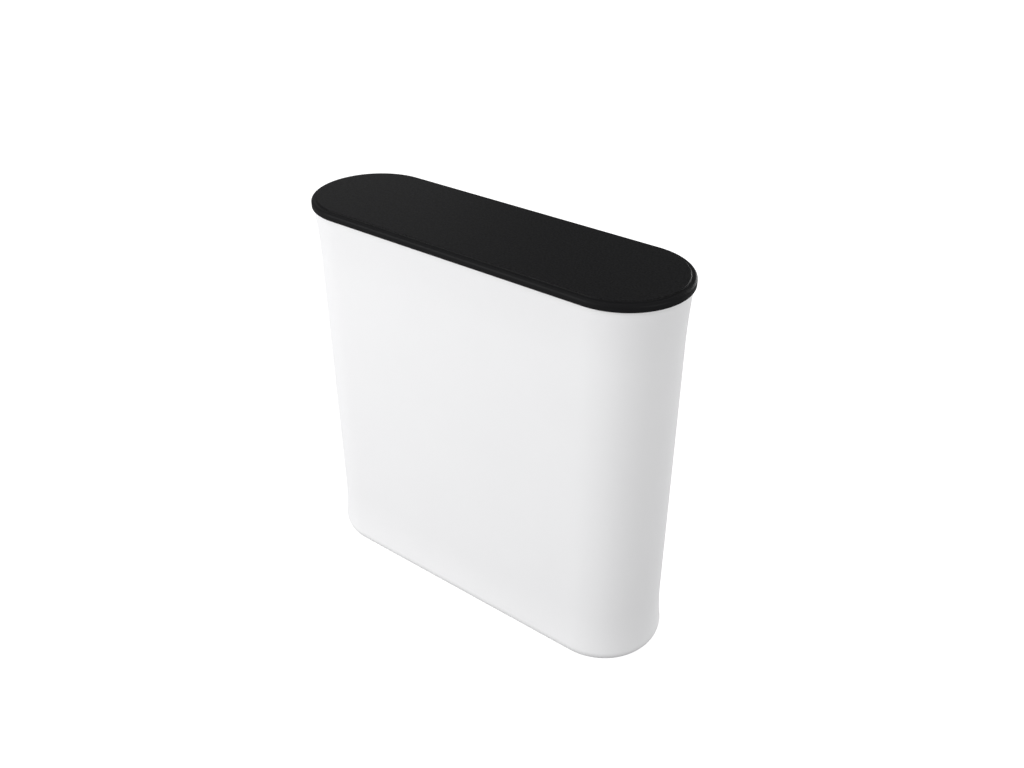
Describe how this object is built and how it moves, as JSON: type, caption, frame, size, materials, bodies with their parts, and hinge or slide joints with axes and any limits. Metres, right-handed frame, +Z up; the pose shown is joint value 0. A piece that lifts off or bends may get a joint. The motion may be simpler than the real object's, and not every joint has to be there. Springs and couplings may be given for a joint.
{
  "type": "inflatable lightbox counter",
  "caption": "Stadium-shaped display counter: a lift-off black top on an inflated tube frame in a white stretch-fabric cover lit from inside, with rear zip, valve and mains inlet.",
  "frame": {"origin": "on the floor, under the middle of the counter", "axes": "+X along the counter to the right seen from the front, +Y to the rear, +Z up"},
  "size_m": [1.011, 0.308, 1],
  "materials": {
    "moulded_black_abs": "satin",
    "mdf": "matte",
    "birch_ply": "matte",
    "hook_nylon": "matte",
    "loop_nylon": "matte",
    "silicone_bead": "satin",
    "stretch_fabric": "matte",
    "white_elastic": "matte",
    "white_tpu": "satin",
    "foot_rubber": "matte",
    "zip_nylon": "satin",
    "zinc_plate": "satin",
    "valve_nylon": "satin",
    "valve_tpu": "satin",
    "spring_steel": "polished",
    "extruded_aluminium": "satin",
    "led_board": "satin",
    "opal_polycarbonate": "satin",
    "grey_plastic": "satin",
    "driver_aluminium": "satin",
    "lead_pvc": "satin",
    "galvanised_sheet": "satin",
    "inlet_black": "satin",
    "switch_black": "satin"
  },
  "bodies": {
    "stand": {"loop_strip_front": "loop_nylon", "loop_strip_rear": "loop_nylon", "top_board": "birch_ply", "keder_bead": "silicone_bead", "upper_ring": "white_tpu", "lower_ring": "white_tpu", "column_front_left": "white_tpu", "column_front_centre": "white_tpu", "column_front_right": "white_tpu", "column_right_end": "white_tpu", "column_rear_right": "white_tpu", "column_rear_centre": "white_tpu", "column_rear_left": "white_tpu", "column_left_end": "white_tpu", "base_board": "birch_ply", "foot_front_left": "foot_rubber", "foot_front_right": "foot_rubber", "foot_rear_right": "foot_rubber", "foot_rear_left": "foot_rubber", "fabric_cover": "stretch_fabric", "hem_elastic": "white_elastic", "zip_tape": "zip_nylon", "zip_top_stop": "zinc_plate", "zip_bottom_stop": "zinc_plate", "valve_saddle": "valve_tpu", "valve_body": "valve_nylon", "valve_spring": "spring_steel", "led_channel_left": "extruded_aluminium", "led_board_left": "led_board", "led_lens_left": "opal_polycarbonate", "led_end_cap_left_inner": "grey_plastic", "led_end_cap_left_outer": "grey_plastic", "led_channel_right": "extruded_aluminium", "led_board_right": "led_board", "led_lens_right": "opal_polycarbonate", "led_end_cap_right_inner": "grey_plastic", "led_end_cap_right_outer": "grey_plastic", "driver_case": "driver_aluminium", "driver_lid": "driver_aluminium", "led_lead_left": "lead_pvc", "led_lead_right": "lead_pvc", "mains_lead": "lead_pvc", "inlet_bracket": "galvanised_sheet", "inlet_bezel": "inlet_black", "inlet_socket": "inlet_black", "switch_body": "switch_black", "bezel_screw_left": "zinc_plate", "bezel_screw_right": "zinc_plate", "bracket_screw_left": "zinc_plate", "bracket_screw_right": "zinc_plate"},
    "countertop": {"countertop_shell": "moulded_black_abs", "countertop_core": "mdf", "hook_strip_front": "hook_nylon", "hook_strip_rear": "hook_nylon"},
    "slider": {"zip_slider": "zinc_plate"},
    "pull": {"zip_pull": "zinc_plate"},
    "plunger": {"valve_plunger": "valve_tpu"},
    "cap": {"valve_cap": "valve_tpu"},
    "rocker": {"switch_rocker": "switch_black"}
  },
  "joints": [
    {"name": "countertop_lift", "type": "slide", "parent": "stand", "child": "countertop", "axis": [0, 0, 1], "range_m": [0, 0.15]},
    {"name": "zip_run", "type": "slide", "parent": "stand", "child": "slider", "axis": [0, 0, -1], "range_m": [0, 0.669]},
    {"name": "zip_pull_swing", "type": "hinge", "parent": "slider", "child": "pull", "pos_m": [0, 0.1495, 0.8347], "axis": [1, 0, 0], "range_deg": [0, 175]},
    {"name": "valve_press", "type": "slide", "parent": "stand", "child": "plunger", "axis": [0, -1, 0], "range_m": [0, 0.005], "stiffness_N_per_m": 400, "springref_m": -0.002, "deforming": ["valve_spring"]},
    {"name": "valve_cap_hinge", "type": "hinge", "parent": "stand", "child": "cap", "pos_m": [0.2, 0.1527, 0.0503], "axis": [1, 0, 0], "range_deg": [0, 120]},
    {"name": "switch_rock", "type": "hinge", "parent": "stand", "child": "rocker", "pos_m": [-0.16, 0.1462, 0.185], "axis": [1, 0, 0], "range_deg": [0, 24]}
  ]
}
